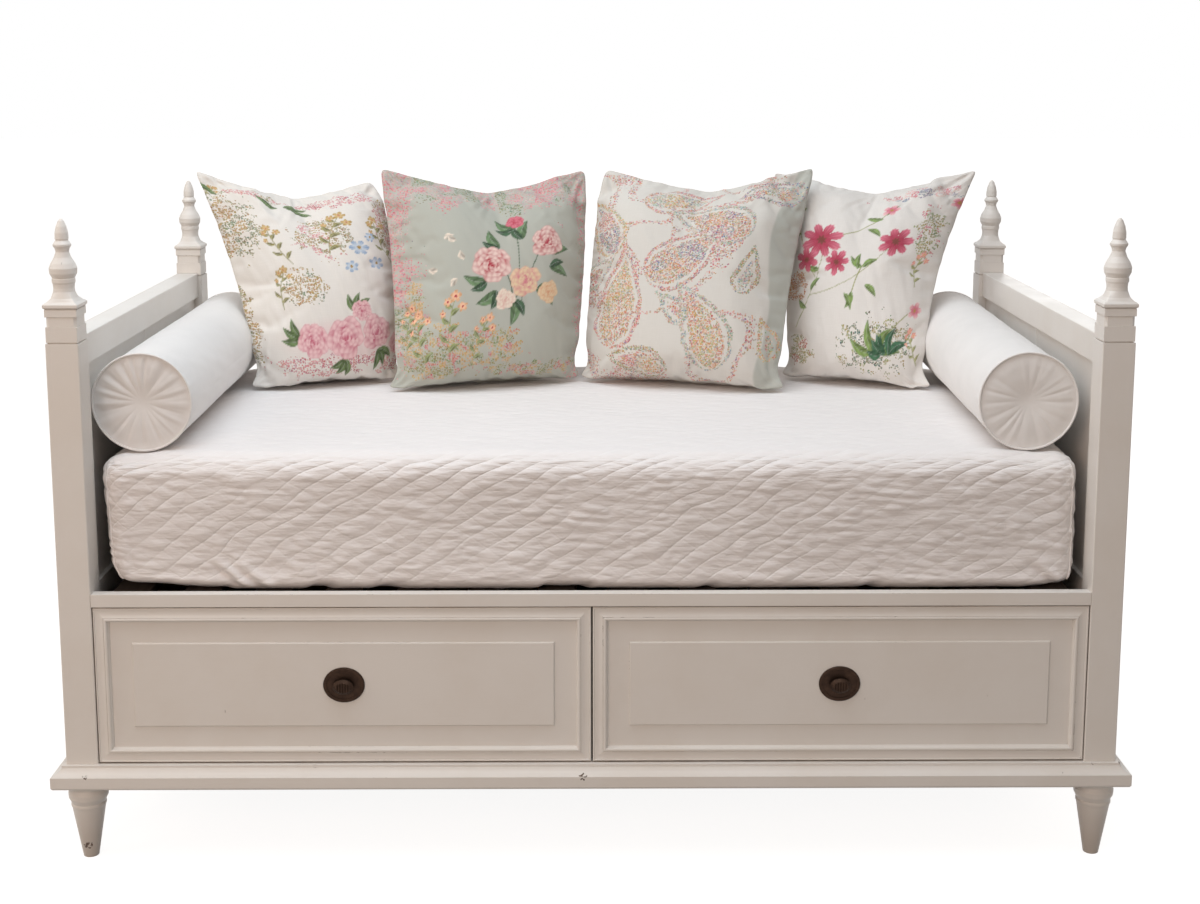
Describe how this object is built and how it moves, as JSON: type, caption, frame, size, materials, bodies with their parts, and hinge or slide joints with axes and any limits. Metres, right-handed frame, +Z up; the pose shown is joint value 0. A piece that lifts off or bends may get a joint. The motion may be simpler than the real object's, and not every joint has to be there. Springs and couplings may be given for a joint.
{
  "type": "wooden sofa bed",
  "caption": "Painted wooden day bed with turned finials and feet, panelled sides, moulded drawers under a quilted mattress, end bolsters and scatter cushions.",
  "frame": {"origin": "centre of the four feet on the floor", "axes": "+X along the bed to the right as seen from the front, +Y from front to back, +Z up"},
  "size_m": [2.09, 1.11, 1.3063],
  "materials": {
    "painted_wood": "satin",
    "bare_pine": "matte",
    "plain_steel": "satin",
    "dark_bronze": "satin",
    "quilted_cotton": "matte",
    "mattress_ticking": "matte",
    "bolster_cotton": "matte",
    "sprig_linen": "matte",
    "rose_linen": "matte",
    "dotted_cotton": "matte",
    "flower_linen": "matte"
  },
  "bodies": {
    "bed_frame": {"foot_front_right": "painted_wood", "post_front_right": "painted_wood", "finial_front_right": "painted_wood", "foot_front_left": "painted_wood", "post_front_left": "painted_wood", "finial_front_left": "painted_wood", "foot_rear_right": "painted_wood", "post_rear_right": "painted_wood", "finial_rear_right": "painted_wood", "foot_rear_left": "painted_wood", "post_rear_left": "painted_wood", "finial_rear_left": "painted_wood", "plinth_front": "painted_wood", "plinth_rear": "painted_wood", "plinth_ends": "painted_wood", "front_rail": "painted_wood", "rear_rail": "painted_wood", "back_panel": "painted_wood", "side_bottom_rail_right": "painted_wood", "side_mid_rail_right": "painted_wood", "side_top_rail_right": "painted_wood", "side_boards_right": "painted_wood", "side_lower_panel_right": "painted_wood", "side_bottom_rail_left": "painted_wood", "side_mid_rail_left": "painted_wood", "side_top_rail_left": "painted_wood", "side_boards_left": "painted_wood", "side_lower_panel_left": "painted_wood", "bearer_front": "bare_pine", "bearer_rear": "bare_pine", "centre_divider": "bare_pine", "drawer_runners": "bare_pine", "drawer_kickers": "bare_pine", "slat_ledgers": "bare_pine", "bed_slats": "bare_pine", "foot_studs": "plain_steel", "mattress_cover": "quilted_cotton", "mattress": "mattress_ticking", "bolster_right": "bolster_cotton", "bolster_left": "bolster_cotton", "cushion_far_left": "sprig_linen", "cushion_mid_left": "rose_linen", "cushion_mid_right": "dotted_cotton", "cushion_far_right": "flower_linen"},
    "right_drawer": {"drawer_front_right": "painted_wood", "drawer_moulding_right": "painted_wood", "drawer_sides_right": "bare_pine", "drawer_back_right": "bare_pine", "drawer_bottom_right": "bare_pine", "drawer_plate_right": "dark_bronze", "drawer_knob_right": "dark_bronze", "drawer_knob_screw_right": "plain_steel"},
    "left_drawer": {"drawer_front_left": "painted_wood", "drawer_moulding_left": "painted_wood", "drawer_sides_left": "bare_pine", "drawer_back_left": "bare_pine", "drawer_bottom_left": "bare_pine", "drawer_plate_left": "dark_bronze", "drawer_knob_left": "dark_bronze", "drawer_knob_screw_left": "plain_steel"}
  },
  "joints": [
    {"name": "right_drawer_slide", "type": "slide", "parent": "bed_frame", "child": "right_drawer", "axis": [0, -1, 0], "range_m": [0, 0.45]},
    {"name": "left_drawer_slide", "type": "slide", "parent": "bed_frame", "child": "left_drawer", "axis": [0, -1, 0], "range_m": [0, 0.45]}
  ]
}
